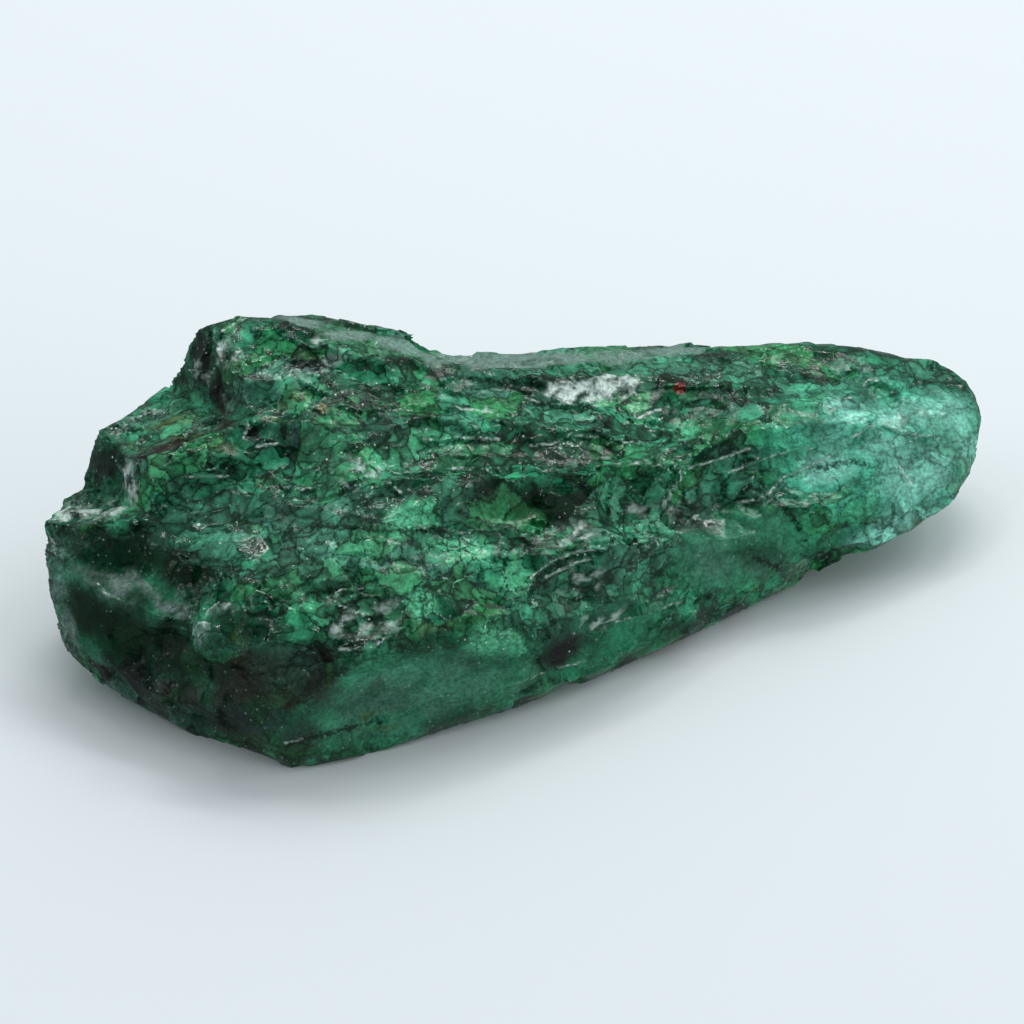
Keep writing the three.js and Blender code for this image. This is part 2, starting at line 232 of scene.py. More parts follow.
BROWN = [  # purple-brown to black
    ((-17.3, -9.3, 5.5), (2.3, 1.9, 1.7)),
    ((-15.3, -10.0, 5.4), (2.1, 1.6, 1.7)),
    ((-13.9, -10.3, 6.0), (1.3, 1.0, 1.1)),
    ((-20.6, -3.0, 9.2), (1.2, 0.9, 0.4)),
    ((-16.2, 3.0, 12.6), (1.2, 0.8, 0.5)),
    ((-19.6, 2.4, 11.6), (1.0, 0.8, 0.6)),
    ((-18.3, 2.4, 12.2), (1.0, 0.7, 0.6)),
    ((-20.4, 2.9, 11.4), (0.8, 0.8, 0.7)),
    ((-15.9, 4.6, 12.4), (1.0, 0.7, 0.5)),
]
PAINTED_SHEEN = [  # dull grey: painted reflection, grey streaks of reflected light along the broken end and the crest
    ((-24.7, -0.5, 7.05), (1.4, 1.2, 0.3)),
    ((-22.9, -2.3, 7.05), (1.5, 1.4, 0.27)),
    ((-20.9, -4.5, 7.05), (1.6, 1.6, 0.22)),
    ((-26.3, 1.1, 5.4), (0.5, 1.4, 2.4)),
    ((-26.0, -0.6, 3.0), (0.7, 1.2, 1.4)),
    ((-21.6, 3.4, 10.4), (0.5, 0.8, 0.9)),
    ((-10.6, 4.6, 14.2), (1.8, 0.7, 0.5)),
    ((-20.0, -7.2, 7.2), (0.5, 0.6, 0.8)),
    ((-26.1, 1.6, 7.3), (0.6, 0.8, 0.8)),
    ((-26.1, 0.2, 5.6), (0.6, 0.7, 1.1)),
    ((-25.8, -1.0, 4.2), (0.6, 0.7, 1.1)),
]
CREST_SHEEN = [  # painted reflection: the pale grey-green sheen on the bevel along the back of the crest
    ((-10.7, 7.5, 14.8), (1.7, 0.8, 0.7)),
    ((-8.3, 6.4, 14.3), (1.9, 0.9, 0.8)),
    ((-5.8, 5.6, 13.5), (2.0, 1.0, 1.0)),
    ((-4.2, 4.9, 13.1), (1.6, 0.8, 0.5)),
    ((-1.6, 4.3, 12.4), (1.6, 0.7, 0.5)),
    ((-3.6, 6.2, 12.0), (1.8, 1.3, 1.3)),
    ((-1.6, 7.0, 10.8), (2.0, 1.3, 0.9)),
    ((0.6, 6.6, 10.6), (2.2, 1.2, 0.8)),
    ((3.6, 6.0, 10.5), (2.3, 1.1, 0.7)),
    ((6.8, 5.6, 10.3), (2.3, 0.9, 0.6)),
    ((10.2, 5.8, 9.8), (2.3, 0.8, 0.5)),
]
PLAIN = [  # clear of fracture cells
    ((-22.8, -2.2, 5.6), (4.6, 4.0, 4.2)),
    ((-18.0, -7.6, 4.0), (3.4, 3.0, 4.2)),
    ((-9.0, -10.8, 3.4), (10.0, 1.8, 3.4)),
    ((2.0, -9.0, 3.0), (6.0, 1.8, 2.6)),
    ((10.4, -5.6, 4.6), (4.4, 2.0, 2.6)),
    ((-16.4, 7.9, 13.3), (0.9, 2.6, 2.2)),
    ((-22.4, 4.4, 9.8), (1.2, 3.0, 1.6)),
    ((-3.2, 6.9, 12.0), (2.8, 1.0, 1.1)),
    ((1.6, 6.4, 10.9), (5.0, 1.3, 0.7)),
    ((-5.0, 10.8, 4.6), (5.0, 1.6, 2.4)),
]
OCHRE = [  # olive, yellow-brown or rusty stain
    ((-19.2, 3.6, 12.0), (2.8, 2.4, 1.2)),
    ((-17.4, 1.7, 12.0), (1.6, 1.0, 0.9)),
    ((-12.1, 3.1, 13.8), (0.9, 0.6, 0.5)),
    ((-7.7, -9.9, 7.8), (1.4, 0.8, 0.8)),
    ((-14.6, -9.8, 6.4), (0.9, 0.6, 0.6)),
    ((-11.3, -10.6, 2.0), (1.4, 0.7, 0.8)),
    ((24.2, -2.6, 4.2), (1.0, 1.6, 1.4)),
    ((21.0, -3.8, 2.6), (3.0, 1.2, 0.8)),
    ((24.0, 3.3, 7.4), (0.5, 0.4, 0.4)),
    ((-18.0, -8.0, 5.9), (1.2, 0.8, 0.6)),
    ((-13.6, 2.6, 13.2), (1.0, 0.5, 0.4)),
    ((14.8, -5.0, 1.9), (1.4, 0.8, 0.7)),
    ((-17.0, 9.8, 2.6), (2.2, 1.2, 1.1)),
    ((9.0, 8.2, 1.6), (2.0, 1.0, 0.9)),
    ((-18.8, 5.2, 11.2), (1.5, 1.3, 0.7)),
    ((-18.0, -8.4, 7.2), (0.8, 0.6, 0.7)),
]
LOBE = [  # lighter and bluer, clearer green
    ((21.0, -1.6, 6.0), (6.2, 4.6, 4.0)),
    ((16.0, -1.0, 7.0), (4.0, 3.4, 2.6)),
]
PALE_PAINTED_LIGHT = [  # palest part of the lobe, with painted light where light shines through its lower right
    ((19.8, -1.4, 7.6), (3.6, 2.0, 1.2)),
    ((23.6, -0.8, 6.6), (2.6, 2.4, 1.6)),
    ((21.8, -3.0, 4.6), (4.0, 2.0, 2.2)),
    ((17.0, 0.2, 8.4), (1.8, 0.8, 0.6)),
    ((16.0, -2.4, 6.6), (1.6, 1.0, 1.0)),
    ((24.4, -2.4, 4.6), (2.4, 2.2, 2.0)),
    ((20.6, -4.6, 3.0), (3.4, 1.4, 1.6)),
]
MILKY = [  # hazy grey-green
    ((-13.5, -4.4, 10.2), (5.6, 3.2, 1.5)),
    ((-17.5, -1.6, 10.4), (2.6, 1.4, 1.0)),
    ((-10.5, -8.0, 9.0), (2.4, 2.0, 1.2)),
    ((10.0, -5.6, 4.6), (3.4, 1.8, 2.0)),
    ((4.6, -7.2, 6.2), (2.4, 1.6, 1.6)),
    ((-9.0, -10.6, 3.2), (6.0, 1.4, 2.4)),
    ((-11.6, 4.2, 14.0), (2.2, 0.9, 0.6)),
    ((-22.6, -2.2, 6.9), (3.4, 0.8, 0.5)),
    ((-25.4, 0.6, 5.4), (0.9, 2.0, 3.2)),
    ((-24.0, -2.8, 2.4), (2.4, 1.4, 1.0)),
    ((-16.3, 3.2, 12.7), (0.9, 0.8, 0.5)),
    ((-11.7, -1.6, 11.9), (0.9, 0.7, 0.5)),
    ((-5.0, 10.8, 5.0), (5.0, 1.6, 2.4)),
    ((11.0, 7.8, 5.0), (4.0, 1.6, 2.2)),
    ((-16.9, 3.6, 12.2), (1.0, 0.9, 0.5)),
]
SHEET = [  # thin layers lifted right off, white with air under them
    ((3.0, 2.4, 10.9), (1.7, 0.8, 0.9)),
    ((5.3, 2.7, 10.6), (2.0, 0.7, 0.9)),
    ((-21.4, 2.6, 10.1), (0.5, 0.9, 0.8)),
    ((-25.2, 3.3, 8.1), (0.8, 0.4, 0.4)),
    ((-24.2, 2.7, 8.4), (1.3, 0.5, 0.4)),
    ((-22.7, 1.6, 8.9), (1.2, 0.5, 0.4)),
    ((-15.2, 6.6, 14.3), (0.3, 0.6, 0.6)),
    ((-19.3, -6.5, 8.1), (0.3, 0.5, 0.6)),
]
FROST = [  # broken white, where thin layers lift off and hold air
    ((8.0, 2.4, 10.1), (0.7, 0.4, 0.3)),
    ((7.8, 1.1, 9.7), (0.6, 0.3, 0.3)),
    ((4.8, -4.6, 7.9), (1.2, 0.4, 0.4)),
    ((0.2, -6.3, 8.4), (1.8, 0.7, 0.6)),
    ((7.3, -3.2, 7.0), (1.1, 0.7, 1.0)),
    ((-11.6, -9.4, 8.0), (2.2, 0.9, 0.8)),
    ((-21.5, 3.0, 10.1), (0.8, 1.1, 1.0)),
    ((-21.4, 1.8, 9.8), (0.7, 0.8, 0.8)),
    ((-15.2, 6.4, 14.4), (0.6, 0.7, 0.8)),
    ((1.4, -8.8, 4.2), (1.8, 0.7, 0.7)),
    ((1.0, -7.9, 6.9), (0.8, 0.5, 0.6)),
    ((-2.0, 1.6, 12.0), (0.9, 0.5, 0.3)),
    ((-10.4, 5.6, 14.4), (0.8, 0.5, 0.3)),
    ((15.0, -4.8, 2.6), (1.2, 0.8, 0.5)),
    ((-9.6, -2.2, 12.0), (1.4, 0.9, 0.4)),
    ((-16.2, 7.8, 12.4), (0.7, 1.2, 0.6)),
    ((-15.0, 6.1, 14.5), (0.7, 0.7, 0.6)),
    ((-24.6, 4.2, 7.8), (1.0, 0.6, 0.4)),
    ((-23.2, 3.3, 8.3), (1.2, 0.6, 0.4)),
    ((-24.4, 2.6, 8.4), (1.1, 0.6, 0.4)),
    ((-22.8, 1.5, 8.9), (1.2, 0.6, 0.4)),
    ((-21.4, 6.6, 10.2), (0.9, 0.5, 0.4)),
    ((-19.4, 7.6, 10.3), (1.3, 0.5, 0.4)),
    ((-19.3, -6.6, 8.2), (0.45, 0.5, 0.5)),
    ((-18.7, -6.3, 8.5), (0.5, 0.4, 0.4)),
    ((-13.0, 10.4, 9.4), (2.0, 1.2, 0.9)),
    ((1.0, 9.6, 7.2), (2.4, 1.0, 0.7)),
    ((16.0, 6.8, 5.6), (1.6, 0.9, 0.7)),
]
GRIT_AND_SPARKLE = [  # rough, and thick with painted sparkles
    ((0.3, -6.5, 8.3), (2.4, 1.1, 0.9)),
    ((4.8, -4.8, 7.8), (2.0, 1.0, 1.0)),
    ((0.5, -9.0, 4.0), (2.6, 0.9, 1.2)),
    ((-16.0, 6.6, 13.6), (1.7, 2.4, 1.4)),
    ((-22.3, 3.6, 9.9), (1.6, 2.6, 1.8)),
    ((-9.4, 2.6, 13.2), (3.0, 1.6, 0.8)),
    ((-10.0, -1.0, 12.2), (2.4, 2.0, 0.8)),
    ((7.3, -4.0, 6.4), (1.0, 0.8, 1.2)),
    ((-22.0, 0.4, 8.6), (2.8, 1.0, 0.7)),
    ((-5.2, -10.0, 5.7), (1.8, 1.0, 1.4)),
    ((-12.0, -9.2, 8.2), (2.6, 1.0, 1.2)),
    ((-20.6, 7.0, 10.2), (2.4, 1.0, 0.7)),
    ((-23.6, 2.8, 8.4), (2.2, 1.8, 0.8)),
]
CALM = [  # smoother than the rest, with few chips and no ledges
    ((20.0, 0.0, 6.0), (8.5, 8.0, 8.0)),
    ((-23.0, -2.4, 6.0), (4.5, 3.6, 3.4)),
    ((9.8, -5.6, 4.6), (4.4, 2.0, 2.2)),
    ((-10.0, -10.8, 3.4), (8.0, 2.0, 3.4)),
    ((-15.0, -4.0, 10.2), (5.0, 3.0, 1.5)),
]
RED = [((9.1, 2.2, 10.0), (0.38, 0.34, 0.34))]
GOLD = [((-10.9, 2.0, 13.2), (0.35, 0.35, 0.3))]
STRIAE_LONG = [  # fine lines along the crystal
    ((-10.0, -10.6, 3.0), (14.0, 3.0, 3.6)),
    ((-20.0, -6.8, 3.0), (6.5, 4.5, 2.8)),
    ((4.0, -8.4, 4.0), (9.0, 2.0, 3.0)),
    ((-5.0, 10.8, 4.6), (7.0, 2.0, 2.8)),
]
STRIAE_DOWN = [  # fine lines down the broken ends
    ((-23.4, 4.6, 9.6), (2.0, 3.4, 2.0)),
    ((-16.4, 7.6, 13.4), (1.2, 2.6, 1.8)),
]

# Painted highlights: white glints along the edges of ledges and flakes, each a line of points on the
# surface.
PAINTED_GLINT_LINES = [
    [(-15.4, 7.7, 14.6), (-14.7, 7.5, 15.4), (-13.3, 8.3, 15.3)],
    [(-16.7, 8.7, 12.0), (-15.8, 6.6, 13.2), (-15.3, 6.5, 14.4), (-14.4, 5.9, 14.8)],
    [(-25.0, 4.6, 7.7), (-24.0, 3.8, 8.0), (-22.5, 3.0, 8.5), (-21.4, 1.6, 9.3)],
    [(-24.9, 3.0, 8.2), (-23.7, 2.0, 8.7), (-22.3, 1.2, 9.1)],
    [(-21.6, 6.6, 10.2), (-20.1, 7.4, 10.3), (-18.9, 7.8, 10.4)],
    [(-18.9, 0.5, 11.5), (-16.6, 0.1, 11.3)],
    [(-13.4, -1.9, 11.3), (-12.6, -2.2, 11.4)],
    [(-15.0, 1.8, 13.1), (-15.4, 1.4, 12.6), (-14.8, 0.8, 12.4), (-13.7, 0.6, 12.5)],
    [(-14.1, -0.9, 11.4), (-14.0, -1.4, 11.2), (-13.7, -1.9, 11.2)],
    [(-10.5, -2.5, 12.0), (-9.2, -1.8, 12.1)],
    [(-8.7, -3.3, 11.8), (-8.2, -4.0, 11.5)],
    [(-6.9, -0.5, 12.3), (-5.7, -0.7, 12.0), (-4.4, -0.7, 11.9), (-2.0, -1.0, 11.4)],
    [(-0.4, -1.2, 10.8), (0.9, -1.2, 10.6), (2.1, -0.8, 10.7), (3.5, -1.1, 10.4)],
    [(3.4, -1.5, 10.2), (5.4, -1.2, 9.8)],
    [(-5.0, -2.5, 11.3), (-3.1, -3.0, 11.1), (0.0, -3.0, 10.4), (3.0, -3.1, 10.1), (5.2, -3.2, 9.9)],
    [(-3.8, 1.3, 12.2), (-1.9, 0.9, 11.8)],
    [(0.0, 2.1, 11.6), (1.0, 1.7, 11.2)],
    [(2.2, 2.0, 10.9), (3.5, 1.4, 10.5), (4.7, 1.7, 10.3), (6.2, 2.8, 10.5), (6.8, 1.9, 10.1)],
    [(5.4, 0.2, 9.9), (7.1, 1.0, 9.7), (8.2, 1.2, 9.7)],
    [(8.3, -2.3, 8.1), (10.2, -1.9, 8.0), (11.9, -1.8, 8.3)],
    [(10.6, -2.3, 7.3), (12.4, -2.2, 7.7), (14.2, -1.9, 7.7), (15.5, -1.8, 7.5)],
    [(10.7, -3.6, 6.2), (12.1, -3.9, 6.4), (13.6, -2.9, 6.8), (14.6, -2.6, 6.8), (16.4, -2.2, 7.0)],
    [(8.7, -4.1, 5.8), (10.1, -5.1, 5.7)],
    [(6.1, -3.8, 9.1), (7.3, -2.9, 7.2), (8.1, -3.2, 6.5)],
    [(17.8, -1.6, 7.5), (19.0, -1.2, 7.8), (20.0, -1.1, 7.6), (20.7, -1.5, 7.2), (22.8, -1.5, 6.5)],
    [(20.1, -2.5, 6.6), (20.4, -3.1, 5.9), (20.8, -3.5, 5.1)],
    [(20.6, 0.7, 8.2), (22.1, 1.4, 7.9), (23.4, 2.3, 7.3)],
    [(-2.3, -8.0, 7.5), (-1.0, -7.2, 7.7), (0.5, -6.9, 7.8), (1.6, -7.0, 7.8)],
    [(-1.4, -7.7, 7.1), (0.1, -7.2, 7.2), (1.2, -7.2, 7.4)],
    [(2.3, -8.4, 3.7), (4.4, -8.0, 3.5), (6.3, -7.4, 3.3)],
    [(-7.9, -5.6, 10.5), (-6.0, -5.5, 9.7), (-4.7, -5.8, 9.1)],
    [(-18.5, -6.3, 8.6), (-19.3, -6.6, 8.2), (-20.0, -7.2, 7.3), (-19.9, -7.7, 6.7)],
    [(-13.2, -10.2, 7.1), (-11.7, -10.8, 7.3), (-11.1, -10.5, 7.4), (-9.9, -9.9, 7.9)],
    [(-16.4, -10.7, 1.8), (-15.6, -11.1, 2.2)],
    [(-3.8, -10.3, 2.5), (-2.0, -9.8, 2.3), (0.4, -9.1, 2.0)],
    [(-26.0, 2.2, 8.0), (-25.9, 1.4, 7.4)],
]
DARK_LINES = [
    [(-10.8, 4.5, 14.4), (-10.1, 3.3, 13.6), (-9.4, 2.1, 13.0), (-9.0, 0.5, 12.7)],
    [(-2.2, -8.0, 7.2), (-0.9, -7.3, 7.4), (0.7, -7.0, 7.6)],
    [(-2.5, -9.0, 6.6), (-2.3, -8.3, 6.9), (-1.7, -7.8, 7.1)],
    [(-16.7, -5.9, 9.1), (-16.4, -6.8, 8.9), (-16.1, -7.7, 8.7)],
    [(-8.7, -5.9, 10.6), (-7.9, -6.4, 9.8), (-7.9, -7.6, 9.4), (-8.0, -8.6, 8.9)],
    [(-13.0, -4.4, 10.7), (-9.8, -5.7, 10.8), (-6.5, -5.6, 9.8)],
    [(-3.7, 3.6, 12.7), (-0.8, 3.0, 11.9), (1.6, 2.8, 11.5)],
    [(-14.7, -7.9, 9.1), (-13.2, -8.2, 9.5), (-11.2, -8.5, 9.1)],
    [(12.6, -4.1, 6.4), (13.6, -4.9, 5.3), (14.0, -5.3, 4.2)],
    [(15.4, -2.7, 6.7), (17.5, -2.5, 6.7), (18.5, -2.8, 6.5)],
    [(11.1, -5.7, 3.8), (11.9, -5.8, 3.3), (12.9, -5.6, 2.4)],
    [(-25.0, 3.8, 7.9), (-23.8, 2.9, 8.3), (-22.2, 2.1, 8.8)],
    [(-16.2, -10.8, 1.8), (-13.5, -10.8, 2.0), (-11.3, -10.6, 1.9)],
]

# ------------------------------------------------------------------ the crystal's surface

VOXEL = 0.15
FINAL_TRIANGLES = 192000
SHARP_ANGLE = 30.0  # degrees between faces above which an edge shows as a crease

CELL_SPACING = 1.25
CELL_STRETCH = np.array([0.72, 1.0, 1.1])  # cells are longer along the crystal
CELL_TILT = 0.08
CELL_LIFT = 0.025
LOWEST_CELL = -0.3
HIGHEST_CELL = 0.16
LONG_LEDGE_SPACING = 1.9
LONG_LEDGE_RISE = 0.2
LEDGE_RISE = 0.11
LEDGE_REACH = 1.1
CHIP_COUNT = 300
DEEPEST_CHIP = 0.28
WAVE_HEIGHT = 0.05

KNOB = ((-18.2, -6.9, 6.7), (2.0, 1.9, 1.9))
HOLLOWS = [  # centre, half sizes and depth
    ((-13.1, -8.2, 9.4), (2.2, 0.7, 0.9), 0.5),
    ((-14.7, 1.5, 12.8), (0.9, 0.8, 0.9), 0.45),
]


def smooth_step(low, high, value):
    t = np.clip((value - low) / (high - low), 0.0, 1.0)
    return t * t * (3.0 - 2.0 * t)


def wavy_noise(points, size, seed, octaves=3):
    """Smooth noise, mostly from -1 to 1: waves whose directions and phases are drawn once."""
    rng = np.random.default_rng(seed)
    total = np.zeros(len(points))
    weight = 0.0
    for octave in range(octaves):
        for _ in range(6):
            direction = rng.normal(size=3)
            direction /= np.linalg.norm(direction)
            wave = 2.0 * math.pi / size * 2 ** octave
            bend = np.sin(points @ rng.normal(size=3) * wave * 0.25)
            total += np.sin(points @ direction * wave + rng.uniform(0, 2 * math.pi) + bend) / 2 ** octave
        weight += math.sqrt(6) / 2 ** octave
    return total / weight


def wavy_vectors(points, size, seed, octaves=2):
    return np.stack([wavy_noise(points, size, seed + axis, octaves) for axis in range(3)], 1)


def spot_mask(points, spots):
    """1 inside any of the spots, falling to 0 outside them."""
    mask = np.zeros(len(points))
    for centre, half_sizes in spots:
        reach = np.linalg.norm((points - np.array(centre)) / np.array(half_sizes), axis=1)
        mask = np.maximum(mask, 1.0 - smooth_step(0.55, 1.35, reach))
    return mask


def from_line(points, line):
    """How far each point is from a line, to which side of it, and how far along it, as seen in the
    main view. The side is 1 above the line and -1 below it, and along runs from 0 to 1."""
    right, up, back = (np.array(axis) for axis in view_axes(VIEW_AZIMUTH, VIEW_ELEVATION))
    nearest = np.full(len(points), np.inf)
    side = np.zeros(len(points))
    along = np.zeros(len(points))
    for i, (start, end) in enumerate(zip(line, line[1:])):
        a = np.array(start)
        way = np.array(end) - a
        from_a = points - a
        share = np.clip(from_a @ way / (way @ way), 0.0, 1.0)
        gap = from_a - share[:, None] * way
        depth = gap @ back
        flat = np.linalg.norm(gap - depth[:, None] * back, axis=1)
        flat += np.clip(np.abs(depth) - 0.9, 0.0, None)
        upward = np.cross(back, way)
        upward *= np.sign(upward @ up)
        closer = flat < nearest
        nearest[closer] = flat[closer]
        side[closer] = np.sign(gap[closer] @ upward)
        along[closer] = (i + share[closer]) / (len(line) - 1)
    return nearest, side, along


def line_distance(points, lines, most=1.0):
    """How far each point is from the nearest of the lines, up to most."""
    nearest = np.full(len(points), most)
    for line in lines:
        nearest = np.minimum(nearest, from_line(points, line)[0])
    return nearest


def bake_modifiers(piece):
    """Turns what the piece's modifiers make into its mesh."""
    graph = bpy.context.evaluated_depsgraph_get()
    mesh = bpy.data.meshes.new_from_object(piece.evaluated_get(graph))
    old = piece.data
    piece.modifiers.clear()
    piece.data = mesh
    bpy.data.meshes.remove(old)


def dense_copy():
    """A copy of the CAD solid as an even, fine mesh."""
    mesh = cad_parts[NODE].data.copy()
    mesh.materials.clear()
    piece = new_object("emerald", mesh)
    remesh = piece.modifiers.new("even", "REMESH")
    remesh.mode = "VOXEL"
    remesh.voxel_size = VOXEL * MM
    bake_modifiers(piece)
    return piece


def vertex_vectors(mesh, name):
    values = np.zeros(len(mesh.vertices) * 3, np.float32)
    mesh.vertices.foreach_get(name, values)
    return values.reshape(-1, 3).astype(float)


def nearest_tree(points):
    tree = KDTree(len(points))
    for i, point in enumerate(points):
        tree.insert(point, i)
    tree.balance()
    return tree


def cell_heights(points, normals, rng):
    """Splits the skin into fracture cells, each a small plate tilted its own way."""
    spaced = (points + 0.28 * wavy_vectors(points, 2.4, SEED + 20)) * CELL_STRETCH
    low = spaced.min(0) - 1.0
    high = spaced.max(0) + 1.0
    count = int(np.prod(high - low) / CELL_SPACING ** 3)
    seeds = rng.uniform(low, high, size=(count, 3))
    tree = nearest_tree(seeds)
    owner = np.array([tree.find(point)[1] for point in spaced])
    tilts = rng.normal(size=(count, 3)) * CELL_TILT
    lifts = rng.normal(size=count) * CELL_LIFT
    tilt = tilts[owner]
    tilt -= normals * np.sum(tilt * normals, 1)[:, None]
    offset = (spaced - seeds[owner]) / CELL_STRETCH
    return np.clip(np.sum(offset * tilt, 1) + lifts[owner], LOWEST_CELL, HIGHEST_CELL)


def long_ledge_heights(points):
    """Long low ledges that run along the crystal and break off towards the front."""
    across = points[:, 1] - 0.8 * points[:, 2]
    stretched = points * np.array([0.22, 1.0, 1.0])
    warped = across + 0.9 * wavy_noise(stretched, 4.0, SEED + 31) + 0.05 * points[:, 0]
    rise = 1.0 - np.mod(warped / LONG_LEDGE_SPACING, 1.0)
    where = smooth_step(-0.15, 0.5, wavy_noise(points, 6.0, SEED + 32, 2))
    return (rise - 0.5) * LONG_LEDGE_RISE * where


def placed_ledge_heights(points):
    """The ledges under the painted glint lines: the surface steps down across each line."""
    total = np.zeros(len(points))
    for line in PAINTED_GLINT_LINES:
        distance, side, along = from_line(points, line)
        taper = smooth_step(0.0, 0.2, along) * smooth_step(0.0, 0.2, 1.0 - along)
        near = 1.0 - smooth_step(0.0, LEDGE_REACH, distance)
        total += LEDGE_RISE * side * near * (0.25 + 0.75 * taper)
    return np.clip(total, -2.0 * LEDGE_RISE, 2.0 * LEDGE_RISE)


def strike_chips(points, normals, calm, rng):
    """Strikes small flat chips off the surface."""
    tree = nearest_tree(points)
    for _ in range(CHIP_COUNT):
        at = int(rng.integers(len(points)))
        length = 0.8 + 2.4 * rng.random() ** 2
        width = length * rng.uniform(0.35, 0.7)
        direction = normals[at] + rng.normal(size=3) * 0.16
        direction /= np.linalg.norm(direction)
        along = np.array([1.0, rng.normal() * 0.35, rng.normal() * 0.35])
        along -= direction * (along @ direction)
        along /= np.linalg.norm(along) + 1e-6
        depth = width * rng.uniform(0.02, 0.09) * (1.0 - 0.6 * calm[at])
        near = np.array([i for _, i, _ in tree.find_range(points[at], length)], dtype=int)
        offset = points[near] - points[at]
        reach = np.hypot(offset @ along / length, offset @ np.cross(direction, along) / width)
        above = np.clip(offset @ direction + depth, 0.0, DEEPEST_CHIP)
        points[near] -= direction * (above * (1.0 - smooth_step(0.8, 1.0, reach)))[:, None]


def swell(points, centre, half_sizes):
    """Pushes the points inside an ellipsoid out to its skin."""
    reach = (points - np.array(centre)) / np.array(half_sizes)
    size = np.linalg.norm(reach, axis=1)
    inside = size < 1.0
    out = reach[inside] / np.maximum(size[inside], 0.05)[:, None]
    points[inside] = np.array(centre) + out * np.array(half_sizes)


def dent(points, normals, centre, half_sizes, depth):
    reach = np.linalg.norm((points - np.array(centre)) / np.array(half_sizes), axis=1)
    points -= normals * (depth * (1.0 - smooth_step(0.3, 1.0, reach)))[:, None]


def sculpt(piece):
    rng = np.random.default_rng(SEED)
    mesh = piece.data
    points = vertex_vectors(mesh, "co") / MM
    normals = vertex_vectors(mesh, "normal")
    low = points.min(0)
    high = points.max(0)
    calm = spot_mask(points, CALM + CREST_SHEEN)
    grounded = smooth_step(0.05, 0.8, points[:, 2])
    swell(points, *KNOB)
    for hollow in HOLLOWS:
        dent(points, normals, *hollow)
    move = cell_heights(points, normals, rng) * (1.0 - 0.55 * calm)
    move += long_ledge_heights(points) * (1.0 - 0.8 * calm)
    move += WAVE_HEIGHT * wavy_noise(points, 3.0, SEED + 5)
    move += placed_ledge_heights(points)
    points += normals * (move * grounded)[:, None]
    strike_chips(points, normals, calm, rng)
    points = np.clip(points, low, high)
    mesh.vertices.foreach_set("co", (points * MM).astype(np.float32).ravel())
    mesh.update()
    thin = piece.modifiers.new("thin", "DECIMATE")
    triangles = sum(len(face.vertices) - 2 for face in mesh.polygons)
    thin.ratio = min(1.0, FINAL_TRIANGLES / triangles)
    bake_modifiers(piece)
    piece.data.shade_smooth()
    piece.data.set_sharp_from_angle(angle=math.radians(SHARP_ANGLE))


# ------------------------------------------------------------------ the looks, stored on the mesh

DARK_GREEN = (0.009, 0.080, 0.040)
MID_GREEN = (0.036, 0.330, 0.165)
DEEP_GREEN = (0.001, 0.026, 0.008)
LOBE_GREEN = (0.10, 0.68, 0.44)
MILKY_GREEN = (0.12, 0.36, 0.25)
# Painted glow: the bright green of light shining through the stone from behind.
PAINTED_GLOW_GREEN = (0.20, 0.98, 0.52)
OLIVE = (0.115, 0.165, 0.042)
# Near-black, used for painted shade as well as for dark patches.
BLACK_AND_SHADE_COLOUR = (0.010, 0.011, 0.012)
BROWN_BLACK = (0.026, 0.014, 0.012)
# Painted reflection: the dull grey of reflected light.
PAINTED_SHEEN_GREY = (0.25, 0.33, 0.31)
# Painted reflection: the pale sheen on the bevel at the back of the crest.
CREST_SHEEN_GREEN = (0.21, 0.34, 0.29)
# Pale lobe green, partly painted light for the light that shines through the lobe.
PALE_PAINTED_LIGHT_GREEN = (0.34, 0.96, 0.76)
RED_SPECK = (0.26, 0.015, 0.010)
GOLD_GLINT = (0.8, 0.65, 0.25)

SPOTS = {
    "painted_glow": PAINTED_GLOW, "deep": DEEP, "black_and_shade": BLACK_AND_SHADE, "ochre": OCHRE, "lobe": LOBE, "milky": MILKY,
    "frost": FROST, "grit_and_sparkle": GRIT_AND_SPARKLE, "calm": CALM + CREST_SHEEN, "brown": BROWN, "painted_sheen": PAINTED_SHEEN,
    "crest_sheen": CREST_SHEEN, "plain": PLAIN, "pale_painted_light": PALE_PAINTED_LIGHT,
}
EVERYWHERE = (-4.0, -3.0)  # below the lowest value of the noise
TONES = [  # colour, look, the noise over which it fades in, and its strongest share
    (PALE_PAINTED_LIGHT_GREEN, "pale_painted_light", (-1.4, 0.3), 1.0),
    (MILKY_GREEN, "milky", (-1.4, 0.6), 0.6),
    (DEEP_GREEN, "deep", EVERYWHERE, 0.97),
    (OLIVE, "ochre", (-0.5, 0.4), 0.75),
    (PAINTED_SHEEN_GREY, "painted_sheen", (-1.6, 0.0), 0.85),
    (CREST_SHEEN_GREEN, "crest_sheen", (-2.6, -1.0), 0.95),
    (BLACK_AND_SHADE_COLOUR, "black_and_shade", (-2.0, -0.7), 0.97),
    (BROWN_BLACK, "brown", (-2.0, -0.7), 0.97),
]


def blend(colours, target, share):
    return colours + (np.array(target) - colours) * share[:, None]


def ridge_amounts(mesh, points):
    """How far each point stands out from its neighbours: positive on edges, negative in creases."""
    normals = vertex_vectors(mesh, "normal")
    ends = np.zeros(len(mesh.edges) * 2, np.int32)
    mesh.edges.foreach_get("vertices", ends)
    a, b = ends.reshape(-1, 2).T
    way = points[b] - points[a]
    way /= np.maximum(np.linalg.norm(way, axis=1), 1e-6)[:, None]
    total = np.zeros(len(points))
    count = np.zeros(len(points))
    for here, sign in ((a, -1.0), (b, 1.0)):
        np.add.at(total, here, sign * np.sum(way * normals[here], 1))
        np.add.at(count, here, 1.0)
    return total / np.maximum(count, 1.0)


def store(mesh, name, values, kind="FLOAT"):
    attribute = mesh.attributes.new(name, kind, "POINT")
    field = {"FLOAT": "value", "FLOAT_VECTOR": "vector"}[kind]
    attribute.data.foreach_set(field, np.ascontiguousarray(values, np.float32).ravel())


